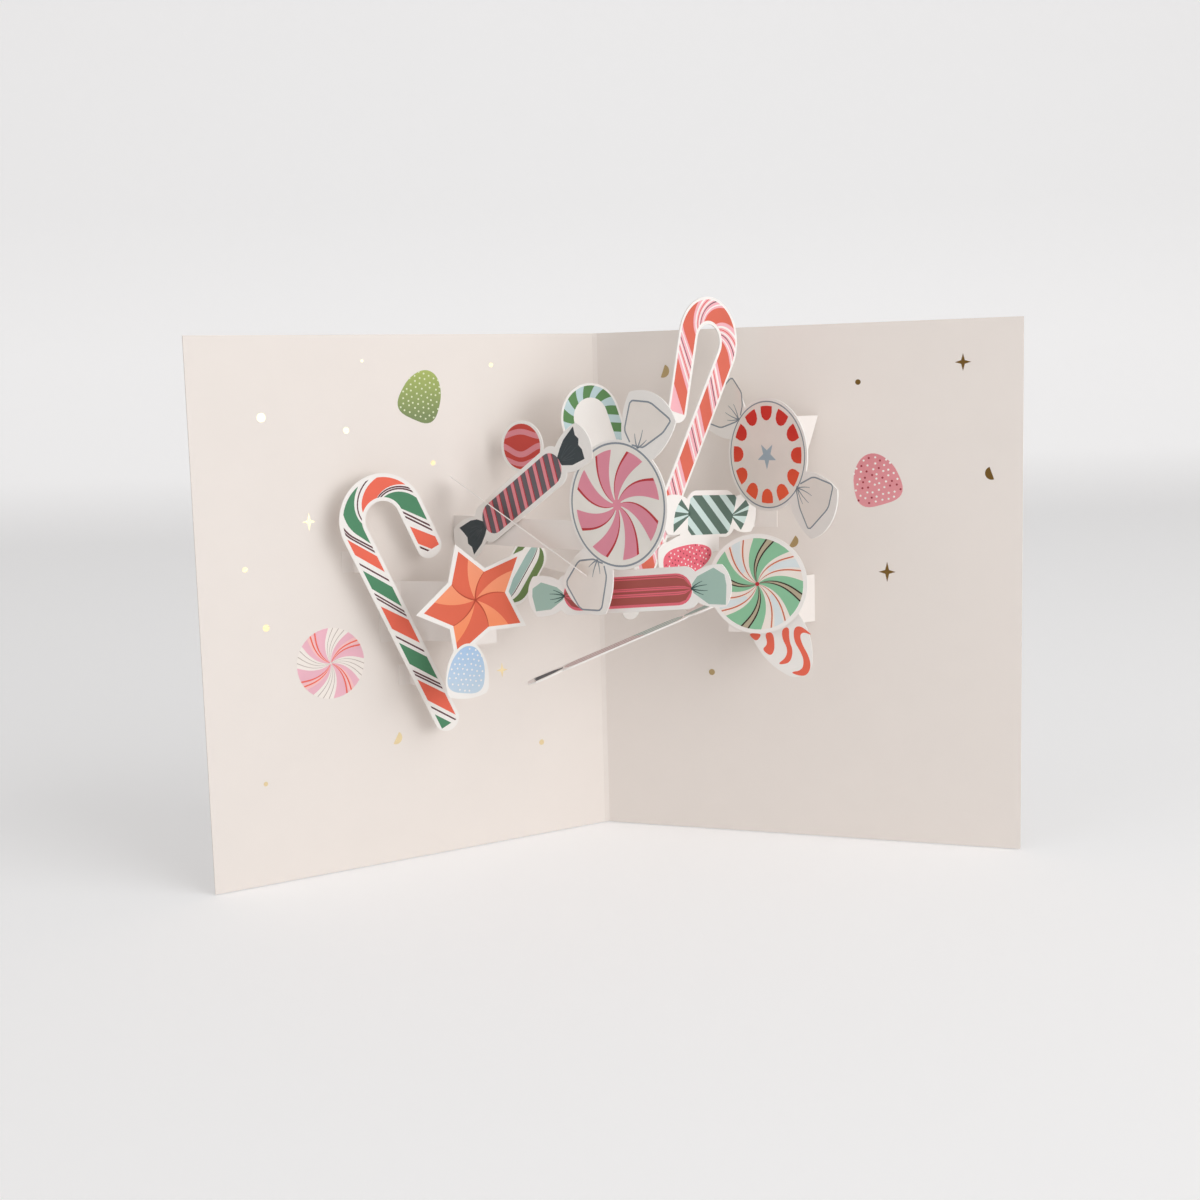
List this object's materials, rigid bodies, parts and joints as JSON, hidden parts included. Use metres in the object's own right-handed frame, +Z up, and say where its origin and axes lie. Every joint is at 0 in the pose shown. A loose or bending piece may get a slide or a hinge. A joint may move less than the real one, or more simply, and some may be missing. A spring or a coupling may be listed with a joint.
{
  "type": "pop-up greeting card",
  "caption": "Standing pop-up greeting card: a folded sheet with die-cut candy shapes held off its two panels by folded paper struts.",
  "frame": {"origin": "foot of the fold, on the bottom edge of the sheet", "axes": "+Z up along the fold, +X to the right of someone reading the open card, -Y towards the reader"},
  "size_m": [0.2296, 0.0849, 0.1607],
  "materials": {
    "card_stock": "matte",
    "strut_paper": "matte",
    "cut_out_card": "matte"
  },
  "bodies": {
    "root": {"big_swirl_candy": "cut_out_card", "big_swirl_strut": "strut_paper", "dark_striped_candy": "cut_out_card", "edge_on_strip": "strut_paper", "folded_card": "card_stock", "green_candy_and_gumdrop": "cut_out_card", "green_red_cane": "cut_out_card", "green_red_cane_lower_spacer": "strut_paper", "green_red_cane_upper_spacer": "strut_paper", "green_striped_drop": "cut_out_card", "long_red_candy": "cut_out_card", "long_red_candy_strut": "strut_paper", "mauve_candy": "cut_out_card", "mauve_candy_strut": "strut_paper", "mint_swirl": "cut_out_card", "mint_swirl_strut": "strut_paper", "red_ball": "cut_out_card", "red_ball_strut": "strut_paper", "red_wavy_gumdrop": "cut_out_card", "ringed_candy_strut": "strut_paper", "ringed_red_candy": "cut_out_card", "small_green_cane": "cut_out_card", "small_green_cane_strut": "strut_paper", "star_strut": "strut_paper", "star_with_gumdrop": "cut_out_card", "tall_pink_cane": "cut_out_card", "tall_pink_cane_strut": "strut_paper", "wavy_gumdrop_strut": "strut_paper"}
  },
  "joints": []
}
